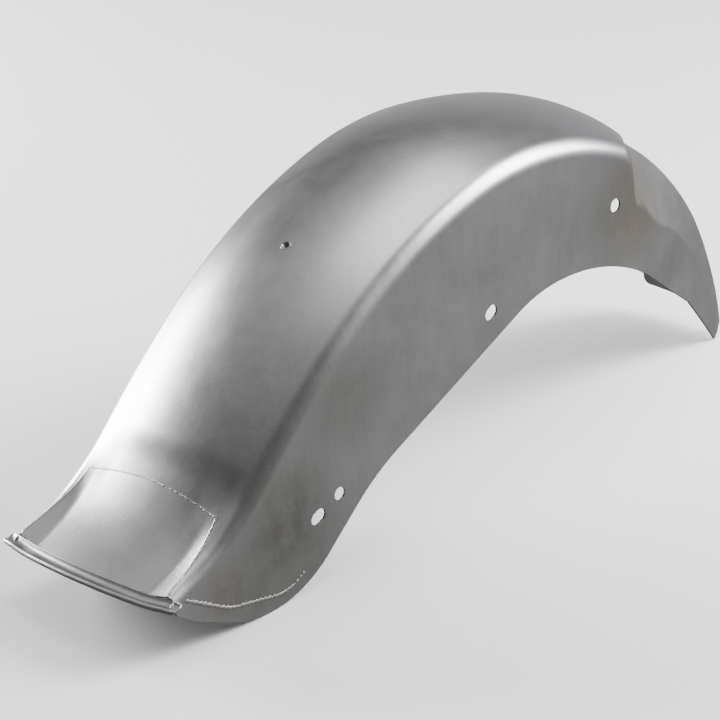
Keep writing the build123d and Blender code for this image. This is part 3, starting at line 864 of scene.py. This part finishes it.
# The skirt's bead runs between two x, and the beads stay clear of the trimmed edges
skirt_weld_back, skirt_weld_front = -421.0, -249.0
skirt_weld_clear = 2.0
ridge_weld_clear = 1.5
flare_s = at_slope(flare_start, 2)
for side, name in ((-1, "right"), (1, "left")):
    flat = spaced(weld_curve[weld_curve[:, 0] > skirt_weld_back], 0.55)
    flat = flat[(side_of(edge_line, flat) > skirt_weld_clear) & (flat[:, 0] < skirt_weld_front)]
    line = np.stack([flat[:, 0], np.full(len(flat), side * half_width), flat[:, 1]], -1)
    normal = np.tile([0.0, float(side), 0.0], (len(line), 1))
    bead("skirt_weld_" + name, line, normal, 1.7, 0.42, 0.9, 1.6, 5 + side, weld_steel)
    rows = flare_s + np.linspace(8, s_total - flare_s - 3, 150)
    low, high = (np.stack([rows, np.full(len(rows), v)], -1) for v in (5.0, 5.0 - 4.0 * side))
    point, normal = sheet_line(low, high, outside_ridge)
    keep = (point[:, 0] < seam_x) & (keep_tail(point) > ridge_weld_clear)
    bead("ridge_weld_" + name, point[keep], normal[keep], 0.8, 0.28, 0.8, 1.7, 11 + side, sheet_steel)

for side, name in ((-1, "right"), (1, "left")):
    line = np.linspace((-413.0, side * 104.6, 57.5), (-404.0, side * 104.9, 60.5), 22)
    normal = np.tile([0.1, 0.62 * side, 0.78], (len(line), 1))
    bead("lip_weld_" + name, line, normal / np.linalg.norm(normal[0]), 3.0, 2.3, 0.8, 2.4, 31 + side, weld_steel)

across_v = np.linspace(2.0, 8.0, 700)
low, high = (np.stack([np.full(len(across_v), s), across_v], -1) for s in (at_slope(30.0, 1), s_total))
point, normal = sheet_line(low, high, lambda p: p[:, 0] - seam_x)
keep = np.abs(point[:, 1]) < ridge_seam_y
seam_line = spaced(np.hstack([point[keep], normal[keep]]), 0.45)
bead("crown_weld", seam_line[:, :3], seam_line[:, 3:], 0.9, 0.34, 1.5, 1.4, 3, weld_steel)

# Camera at the photograph's viewing angle
aim = Vector((-0.0545, 0.0, 0.1315))
back = Vector((-0.63934969, -0.64509419, 0.41843215))
right = Vector((0.68621231, -0.72421502, -0.06800929))
up = Vector((0.34690725, 0.24365158, 0.90569822))
camera_distance = 2.8749
cam_data = bpy.data.cameras.new("camera")
cam_data.lens = 150.0
cam_data.sensor_width = 36.0
cam_data.clip_end = 50.0
camera = bpy.data.objects.new("camera", cam_data)
place = aim + back * camera_distance
camera.matrix_world = Matrix([(right[k], up[k], back[k], place[k]) for k in range(3)] + [(0, 0, 0, 1)])
bpy.context.scene.collection.objects.link(camera)
bpy.context.scene.camera = camera

# Floor, kept out of the steel's reflections
floor_mesh = bpy.data.meshes.new("floor")
floor_mesh.from_pydata([(-9, -9, 0), (9, -9, 0), (9, 9, 0), (-9, 9, 0)], [], [(0, 1, 2, 3)])
floor = bpy.data.objects.new("floor", floor_mesh)
bpy.context.scene.collection.objects.link(floor)


def floor_paint(nt, bsdf):
    co = nt.nodes.new("ShaderNodeTexCoord").outputs["Object"]
    n = add(nt, "ShaderNodeTexNoise", Scale=3.0, Detail=2.0)
    nt.links.new(co, n.inputs["Vector"])
    paint = mix_colour(nt, n.outputs["Fac"], (0.86, 0.86, 0.86, 1), (0.88, 0.88, 0.88, 1))
    nt.links.new(paint, bsdf.inputs["Base Color"])
    bsdf.inputs["Roughness"].default_value = 0.9


floor.data.materials.append(node_material("floor_paint", floor_paint))
floor.visible_glossy = False
floor.visible_shadow = False

# Studio walls and soft lights
world = bpy.data.worlds.new("studio")
bpy.context.scene.world = world
world.use_nodes = True
sky = world.node_tree
sky_direction = sky.nodes.new("ShaderNodeTexCoord").outputs["Generated"]


def heading(azimuth, elevation):
    """Unit vector towards a light; azimuth 0 is the fender's right side and 90 its front."""
    a, e = np.radians(azimuth), np.radians(elevation)
    return Vector((np.sin(a) * np.cos(e), -np.cos(a) * np.cos(e), np.sin(e)))


def glow(level, azimuth, elevation, reach, strength):
    """Adds a wide soft patch of light to the studio's walls."""
    dot = add(sky, "ShaderNodeVectorMath", operation="DOT_PRODUCT")
    sky.links.new(sky_direction, dot.inputs[0])
    dot.inputs[1].default_value = heading(azimuth, elevation)
    fade = add(sky, "ShaderNodeMapRange", interpolation_type="SMOOTHERSTEP")
    fade.inputs["From Min"].default_value = np.cos(np.radians(reach))
    fade.inputs["To Max"].default_value = strength
    sky.links.new(dot.outputs["Value"], fade.inputs["Value"])
    return maths(sky, "ADD", fade.outputs["Result"], level)


level = glow(0.13, 52, -20, 44, 0.34)
level = glow(level, 122, -4, 44, 0.5)
level = glow(level, 120, 80, 50, 0.7)
background = sky.nodes["Background"]
background.inputs["Color"].default_value = (0.98, 0.99, 1.0, 1)
sky.links.new(level, background.inputs["Strength"])


def softbox(name, azimuth, elevation, distance, width, height, radiance):
    """Soft light of a given brightness that faces the fender."""
    target = Vector((0.0, 0.0, 0.18))
    data = bpy.data.lights.new(name, "AREA")
    data.shape = "RECTANGLE"
    data.size = width
    data.size_y = height
    data.energy = radiance * 4 * width * height
    light = bpy.data.objects.new(name, data)
    light.location = target + distance * heading(azimuth, elevation)
    light.rotation_euler = (target - light.location).to_track_quat("-Z", "Y").to_euler()
    light.visible_camera = False
    bpy.context.scene.collection.objects.link(light)


softbox("key", 48, 29, 2.6, 1.3, 1.8, 22.0)
softbox("left", -168, 6, 2.6, 1.2, 1.6, 38.0)
softbox("overhead", 95, 80, 2.4, 1.4, 1.5, 2.6)
